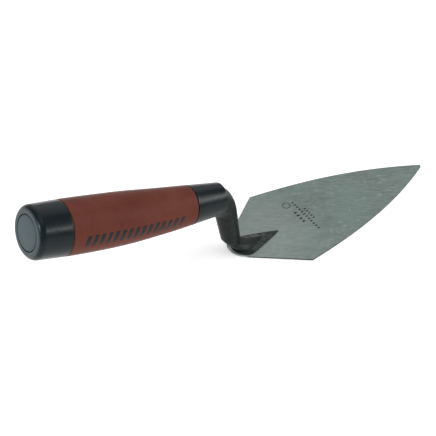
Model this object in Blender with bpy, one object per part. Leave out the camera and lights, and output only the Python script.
"""Pointing trowel for brickwork: a thin ground blade on a forged gooseneck shank,
with a two-colour moulded handle.

Frame, in metres: +X runs along the blade towards its tip, +Y to the left, +Z up.
The origin is on the blade's flat underside, on the centreline, where the blade is widest.
The handle has its own axis, which rises towards the butt. Places on it are given as a
distance from the butt and a height above the axis.
"""
import math

import bmesh
import bpy
from mathutils import Vector

# Blade
BLADE_LENGTH = 0.1524
BLADE_WIDTH = 0.0693
SHOULDER_FROM_HEEL = 0.0384
HEEL_NOSE_RADIUS = 0.0118
HEEL_HALF_ANGLE = math.radians(36.6)
TIP_RADIUS = 0.0012
SIDE_FULLNESS = (0.56, 0.25)
HEEL_THICKNESS = 0.0013
TIP_THICKNESS = 0.0010
TOP_EDGE_BREAK = 0.0002
UNDER_EDGE_WIDTH = 0.0005
UNDER_EDGE_HEIGHT = 0.0002

# Handle: axis, outline and wall
HANDLE_PITCH = math.radians(16.0)
BUTT_CENTRE = Vector((-0.1718, 0.0, 0.0819))
GRIP_RADII = ((0.004, 0.0158), (0.025, 0.0163), (0.044, 0.0161), (0.063, 0.0155), (0.081, 0.0142),
              (0.100, 0.01265), (0.1293, 0.0099))
GRIP_HEIGHTS = ((0.0, 0.0003), (0.044, -0.0005), (0.069, -0.0005), (0.094, 0.0), (0.1293, 0.0016))
GRIP_WALL = 0.0029
CAP_END = 0.0199
SLEEVE_START = 0.0202
SLEEVE_END = 0.1066
COLLAR_START = 0.1069
COLLAR_END = 0.1293
FIT_GAP = 0.0003

# Butt cap, end plug and core
BUTT_FACE = -0.0010
RIM_RADIUS = 0.0124
RIM_ROUND = 0.0038
PLUG_HOLE_RADIUS = 0.0108
PLUG_RADIUS = 0.0103
PLUG_DEPTH = 0.0035
SPIGOT_RADIUS = 0.0072
SPIGOT_END = 0.0115
CORE_START = 0.0039
CORE_END = 0.1270
CORE_MOUTH_END = 0.0125
CAVITY_RADIUS = 0.0095
CAVITY_START = 0.0135
CAVITY_END = 0.0580
BORE_START = 0.0600

# Shank: tang, shoulder, bend, neck and foot
TANG_HEIGHT = 0.0012
TANG_TIP = 0.0660
TANG_TIP_RADIUS = 0.0030
TANG_ROOT_RADIUS = 0.0046
SHOULDER = 0.1296
SHOULDER_LOW = -0.0086
SHOULDER_HIGH = 0.0104
SHOULDER_HALF_WIDTH = 0.0088
BEND_PIVOT = (0.1211, -0.0167)
BEND_INNER_RADIUS = 0.0114
BEND_TURN = math.radians(65.0)
BEND_OUTER_START = math.radians(22.0)
BEND_INNER_START = math.radians(50.5)
BEND_RADIUS = 0.0086
NECK_TOP_RADIUS = 0.0069
NECK_FOOT_RADIUS = 0.0059
NECK_REAR_Z = 0.0136
NECK_FRONT_Z = 0.0064
FOOT_REAR_FROM_HEEL = 0.0016
FOOT_LENGTH = 0.0339
FOOT_HALF_WIDTH = 0.0088
FOOT_TAPER_POWER = 0.88
FOOT_SIDE_STEP = 0.0018
FOOT_EDGE_HEIGHT = 0.0005
TOE_EDGE_HEIGHT = 0.0003
RIM_UNDERCUT = 0.0007
FOOT_HOLLOW = 1.6

ROUND_SEGMENTS = 40
SHANK_SEGMENTS = 40

HEEL_X = -SHOULDER_FROM_HEEL
TIP_X = BLADE_LENGTH - SHOULDER_FROM_HEEL


def smooth_value(points, place):
    """Value at a place along a short list of (place, value) pairs, joined by smooth cubics."""
    places = [p[0] for p in points]
    values = [p[1] for p in points]
    last = len(points) - 1
    slopes = []
    for i in range(last + 1):
        low = max(i - 1, 0)
        high = min(i + 1, last)
        slopes.append((values[high] - values[low]) / (places[high] - places[low]))
    i = 0
    while i < last - 1 and place > places[i + 1]:
        i += 1
    span = places[i + 1] - places[i]
    t = min(max((place - places[i]) / span, 0.0), 1.0)
    start = values[i] * (1 + 2 * t) * (1 - t) ** 2 + slopes[i] * span * t * (1 - t) ** 2
    end = values[i + 1] * t * t * (3 - 2 * t) + slopes[i + 1] * span * t * t * (t - 1)
    return start + end


def grip_radius(along):
    return smooth_value(GRIP_RADII, along)


def grip_height(along):
    return smooth_value(GRIP_HEIGHTS, along)


def core_radius(along):
    return grip_radius(along) - GRIP_WALL


def tang_radius(along):
    share = (along - TANG_TIP) / (SHOULDER - TANG_TIP)
    return TANG_TIP_RADIUS + (TANG_ROOT_RADIUS - TANG_TIP_RADIUS) * share


def handle_point(along, height, side=0.0):
    """World position of a place on the handle."""
    x = BUTT_CENTRE.x + along * math.cos(HANDLE_PITCH) + height * math.sin(HANDLE_PITCH)
    z = BUTT_CENTRE.z - along * math.sin(HANDLE_PITCH) + height * math.cos(HANDLE_PITCH)
    return Vector((x, side, z))


def spread(start, end, count):
    """Evenly spaced values from start to end, both included."""
    return [start + (end - start) * i / (count - 1) for i in range(count)]


def material(name, colour, roughness, metallic=0.0):
    made = bpy.data.materials.new(name)
    made.use_nodes = True
    shader = made.node_tree.nodes["Principled BSDF"]
    shader.inputs["Base Color"].default_value = (*colour, 1.0)
    shader.inputs["Roughness"].default_value = roughness
    shader.inputs["Metallic"].default_value = metallic
    return made


def add_object(name, bm, finish, sharp=35.0):
    """Turn a bmesh into a named object with outward faces and smooth shading."""
    bmesh.ops.recalc_face_normals(bm, faces=bm.faces)
    mesh = bpy.data.meshes.new(name)
    bm.to_mesh(mesh)
    bm.free()
    mesh.shade_smooth()
    mesh.set_sharp_from_angle(angle=math.radians(sharp))
    mesh.materials.append(finish)
    made = bpy.data.objects.new(name, mesh)
    bpy.context.collection.objects.link(made)
    return made


def loft(rings, looped=False):
    """Skin a list of equal rings of points: looped into a ring-shaped body, or capped."""
    bm = bmesh.new()
    loops = [[bm.verts.new(point) for point in ring] for ring in rings]
    count = len(loops[0])
    pairs = list(zip(loops, loops[1:]))
    if looped:
        pairs.append((loops[-1], loops[0]))
    for first, second in pairs:
        for i in range(count):
            j = (i + 1) % count
            bm.faces.new((first[i], first[j], second[j], second[i]))
    if not looped:
        bm.faces.new(loops[0])
        bm.faces.new(loops[-1])
    return bm


def round_ring(along, radius, height):
    """A circle across the handle's axis, its centre at a height above the axis."""
    ring = []
    for i in range(ROUND_SEGMENTS):
        turn = 2 * math.pi * i / ROUND_SEGMENTS
        ring.append(handle_point(along, height + radius * math.cos(turn), radius * math.sin(turn)))
    return ring


def turned(name, profile, finish, looped):
    """A round body along the handle from (along, radius, height) entries."""
    return add_object(name, loft([round_ring(*entry) for entry in profile], looped), finish)


def outer_wall(start, end, count):
    return [(s, grip_radius(s), grip_height(s)) for s in spread(start, end, count)]


def inner_wall(start, end, count):
    """The core's seat inside a moulded piece, listed from its front end to its rear end."""
    return [(s, core_radius(s) + FIT_GAP, grip_height(s)) for s in spread(end, start, count)]


def top_of_blade(x):
    share = (x - HEEL_X) / BLADE_LENGTH
    return HEEL_THICKNESS + (TIP_THICKNESS - HEEL_THICKNESS) * share


def blade_half_outline(inset):
    """The left half of the outline, drawn in by an inset, from the heel's nose to the tip."""
    points = []
    nose_x = HEEL_X + HEEL_NOSE_RADIUS
    nose = HEEL_NOSE_RADIUS - inset
    for turn in spread(math.pi, math.pi / 2 + HEEL_HALF_ANGLE, 9):
        points.append((nose_x + nose * math.cos(turn), nose * math.sin(turn)))
    first, second = SIDE_FULLNESS
    tip_slope = BLADE_WIDTH / 2 * (1 + first + second) / TIP_X
    tip_angle = math.atan(tip_slope)
    tip_centre = TIP_X - TIP_RADIUS / math.sin(tip_angle)
    side_end = (tip_centre + TIP_RADIUS * math.sin(tip_angle)) / TIP_X
    for share in spread(0.0, side_end, 22):
        half = BLADE_WIDTH / 2 * (1 - share) * (1 + first * share + second * share * share)
        points.append((share * TIP_X, half - inset))
    tip = TIP_RADIUS - inset
    for turn in spread(math.pi / 2 - tip_angle, 0.0, 5)[1:]:
        points.append((tip_centre + tip * math.cos(turn), tip * math.sin(turn)))
    return points


def blade_ring(inset, height_share, lift):
    """The whole outline at a share of the blade's thickness, lifted a little."""
    half = blade_half_outline(inset)
    outline = half + [(x, -y) for x, y in reversed(half[1:-1])]
    return [Vector((x, y, top_of_blade(x) * height_share + lift)) for x, y in outline]


def make_blade(finish):
    """A flat plate, its upper edge broken and its lower edge worn to a shallow slope."""
    rings = [
        blade_ring(UNDER_EDGE_WIDTH, 0.0, 0.0),
        blade_ring(0.0, 0.0, UNDER_EDGE_HEIGHT),
        blade_ring(0.0, 1.0, -TOP_EDGE_BREAK),
        blade_ring(TOP_EDGE_BREAK, 1.0, 0.0),
    ]
    add_object("blade", loft(rings), finish)


def section_ring(inner, outer, half_width):
    """An oval across the shank, from a point on its inner side to one on its outer side."""
    centre = (inner + outer) / 2
    reach = (outer - inner) / 2
    ring = []
    for i in range(SHANK_SEGMENTS):
        turn = 2 * math.pi * i / SHANK_SEGMENTS
        ring.append(centre - reach * math.cos(turn) + Vector((0, half_width * math.sin(turn), 0)))
    return ring


def tang_rings():
    chamfer = 0.0012
    stations = [(TANG_TIP, TANG_TIP_RADIUS - chamfer / 2)]
    stations += [(s, tang_radius(s)) for s in spread(TANG_TIP + chamfer, SHOULDER, 4)]
    rings = []
    for along, radius in stations:
        low = handle_point(along, TANG_HEIGHT - radius)
        high = handle_point(along, TANG_HEIGHT + radius)
        rings.append(section_ring(low, high, radius))
    return rings


def bend_radius(share):
    eased = share * share * (3 - 2 * share)
    return BEND_RADIUS + (NECK_TOP_RADIUS - BEND_RADIUS) * eased


def bend_point(turn, reach):
    """A place at a distance from the bend's pivot, at a turn away from square to the handle."""
    along = BEND_PIVOT[0] + reach * math.sin(turn)
    return handle_point(along, BEND_PIVOT[1] + reach * math.cos(turn))


def bend_rings():
    low = handle_point(SHOULDER, SHOULDER_LOW)
    high = handle_point(SHOULDER, SHOULDER_HIGH)
    rings = [section_ring(low, high, SHOULDER_HALF_WIDTH)]
    for share in spread(0.0, 1.0, 11):
        inner_turn = BEND_INNER_START + (BEND_TURN - BEND_INNER_START) * share
        outer_turn = BEND_OUTER_START + (BEND_TURN - BEND_OUTER_START) * share
        radius = bend_radius(outer_turn / BEND_TURN)
        inner = bend_point(inner_turn, BEND_INNER_RADIUS)
        outer = bend_point(outer_turn, BEND_INNER_RADIUS + 2 * radius)
        rings.append(section_ring(inner, outer, radius))
    return rings


def neck_side(outward, floor_z, share):
    """A place on the neck's front (outward = 1) or rear (-1), on its way down to floor_z."""
    fall = HANDLE_PITCH + BEND_TURN
    down = Vector((math.cos(fall), 0.0, -math.sin(fall)))
    front = Vector((math.sin(fall), 0.0, math.cos(fall)))
    start = bend_point(BEND_TURN, BEND_INNER_RADIUS + NECK_TOP_RADIUS)
    end = start + down * ((start.z - floor_z) / math.sin(fall))
    top = start + front * outward * NECK_TOP_RADIUS
    foot = end + front * outward * NECK_FOOT_RADIUS
    return top.lerp(foot, share)


def neck_rings():
    rings = []
    for share in spread(0.0, 1.0, 6)[1:]:
        rear = neck_side(-1, NECK_REAR_Z, share)
        front = neck_side(1, NECK_FRONT_Z, share)
        half_width = NECK_TOP_RADIUS + (NECK_FOOT_RADIUS - NECK_TOP_RADIUS) * share
        rings.append(section_ring(rear, front, half_width))
    return rings


def undercut_ring(neck_end):
    """The neck's last oval again, a little smaller and lower, so that its rear rim overhangs."""
    centre = sum(neck_end, Vector()) / len(neck_end)
    drop = Vector((0.0, 0.0, RIM_UNDERCUT))
    return [point - (point - centre).normalized() * RIM_UNDERCUT - drop for point in neck_end]


def foot_outline_point(turn):
    """A place on the foot's outline: turn 0 is its round rear, half a turn is its toe.

    The foot lies a step to the right of the blade's centreline.
    """
    rear = HEEL_X + FOOT_REAR_FROM_HEEL
    middle = rear + FOOT_HALF_WIDTH
    toe = rear + FOOT_LENGTH
    side = math.copysign(1.0, math.sin(turn))
    swing = min(turn, 2 * math.pi - turn)
    if swing <= math.pi / 2:
        half = FOOT_HALF_WIDTH * math.sin(swing)
        return middle - FOOT_HALF_WIDTH * math.cos(swing), side * half - FOOT_SIDE_STEP
    share = (swing - math.pi / 2) / (math.pi / 2)
    reach = 1 - (1 - share) ** 1.25
    half = FOOT_HALF_WIDTH * max(1 - reach, 0.0) ** FOOT_TAPER_POWER
    return middle + (toe - middle) * reach, side * half - FOOT_SIDE_STEP


def foot_ring(height_share):
    """The foot's outline, raised above the blade by a share of the height of the foot's edge."""
    toe = HEEL_X + FOOT_REAR_FROM_HEEL + FOOT_LENGTH
    ring = []
    for i in range(SHANK_SEGMENTS):
        x, y = foot_outline_point(2 * math.pi * i / SHANK_SEGMENTS)
        fall = (FOOT_EDGE_HEIGHT - TOE_EDGE_HEIGHT) * (toe - x) / FOOT_LENGTH
        height = (TOE_EDGE_HEIGHT + fall) * height_share
        ring.append(Vector((x, y, top_of_blade(x) + FIT_GAP + height)))
    return ring


def foot_rings(neck_end):
    """The flare from the neck's last oval to the foot's outline, hollow like a fillet."""
    edge = foot_ring(1.0)
    rings = []
    for share in (0.2, 0.4, 0.6, 0.8):
        ring = []
        for top, low in zip(neck_end, edge):
            point = top.lerp(low, share)
            point.z = low.z + (top.z - low.z) * (1 - share) ** FOOT_HOLLOW
            ring.append(point)
        rings.append(ring)
    return rings + [edge, foot_ring(0.0)]


def make_shank(finish):
    rings = tang_rings() + bend_rings() + neck_rings()
    rings.append(undercut_ring(rings[-1]))
    add_object("shank", loft(rings + foot_rings(rings[-1])), finish)


def make_butt_cap(finish):
    profile = [(BUTT_FACE, PLUG_HOLE_RADIUS, grip_height(0.0))]
    for turn in spread(0.0, math.pi / 2, 7):
        along = BUTT_FACE + RIM_ROUND * (1 - math.cos(turn))
        radius = RIM_RADIUS + (GRIP_RADII[0][1] - RIM_RADIUS) * math.sin(turn)
        profile.append((along, radius, grip_height(along)))
    profile += outer_wall(GRIP_RADII[0][0] + 0.002, CAP_END, 4)
    seat = CORE_START - FIT_GAP
    profile += inner_wall(seat, CAP_END, 4)
    profile.append((seat, PLUG_HOLE_RADIUS, grip_height(0.0)))
    return turned("butt_cap", profile, finish, looped=True)


def make_end_plug(finish):
    height = grip_height(0.0)
    chamfer = 0.0004
    dome = 0.0003
    profile = [
        (BUTT_FACE - dome, 0.55 * PLUG_RADIUS, height),
        (BUTT_FACE - dome / 3, PLUG_RADIUS - 1.5 * chamfer, height),
        (BUTT_FACE + chamfer, PLUG_RADIUS, height),
        (PLUG_DEPTH, PLUG_RADIUS, height),
        (PLUG_DEPTH, SPIGOT_RADIUS, height),
        (SPIGOT_END - chamfer, SPIGOT_RADIUS, height),
        (SPIGOT_END, SPIGOT_RADIUS - chamfer, height),
    ]
    return turned("end_plug", profile, finish, looped=False)


def make_handle_core(finish):
    outer = [(s, core_radius(s), grip_height(s)) for s in spread(CORE_START, CORE_END, 14)]
    bore = [(s, tang_radius(s) + FIT_GAP, TANG_HEIGHT) for s in spread(CORE_END, BORE_START, 3)]
    mouth_height = grip_height(0.0)
    mouth_radius = SPIGOT_RADIUS + FIT_GAP
    cavity = [(s, CAVITY_RADIUS, grip_height(s)) for s in spread(CAVITY_END, CAVITY_START, 4)]
    mouth = [(CORE_MOUTH_END, mouth_radius, mouth_height), (CORE_START, mouth_radius, mouth_height)]
    return turned("handle_core", outer + bore + cavity + mouth, finish, looped=True)


def make_grip_sleeve(finish):
    profile = outer_wall(SLEEVE_START, SLEEVE_END, 13) + inner_wall(SLEEVE_START, SLEEVE_END, 7)
    return turned("grip_sleeve", profile, finish, looped=True)


def make_front_collar(finish):
    edge_round = 0.0005
    seat = CORE_END + FIT_GAP
    lip_radius = TANG_ROOT_RADIUS + FIT_GAP
    front_height = grip_height(COLLAR_END)
    profile = outer_wall(COLLAR_START, COLLAR_END - edge_round, 6)
    profile.append((COLLAR_END, grip_radius(COLLAR_END) - edge_round, front_height))
    profile.append((COLLAR_END, lip_radius, TANG_HEIGHT))
    profile.append((seat, lip_radius, TANG_HEIGHT))
    profile += inner_wall(COLLAR_START, seat, 4)
    return turned("front_collar", profile, finish, looped=True)


def main():
    for old in list(bpy.data.objects):
        bpy.data.objects.remove(old, do_unlink=True)
    ground_steel = material("ground_steel", (0.32, 0.37, 0.36), 0.42, 0.85)
    forged_steel = material("forged_steel", (0.035, 0.040, 0.040), 0.45, 0.3)
    soft_black = material("soft_black", (0.020, 0.028, 0.030), 0.5)
    soft_brick_red = material("soft_brick_red", (0.16, 0.048, 0.034), 0.6)
    hard_black = material("hard_black", (0.03, 0.03, 0.03), 0.4)
    plug_grey = material("plug_grey", (0.11, 0.15, 0.17), 0.5)
    make_blade(ground_steel)
    make_shank(forged_steel)
    make_handle_core(hard_black)
    make_grip_sleeve(soft_brick_red)
    make_front_collar(soft_black)
    make_butt_cap(soft_black)
    make_end_plug(plug_grey)


main()
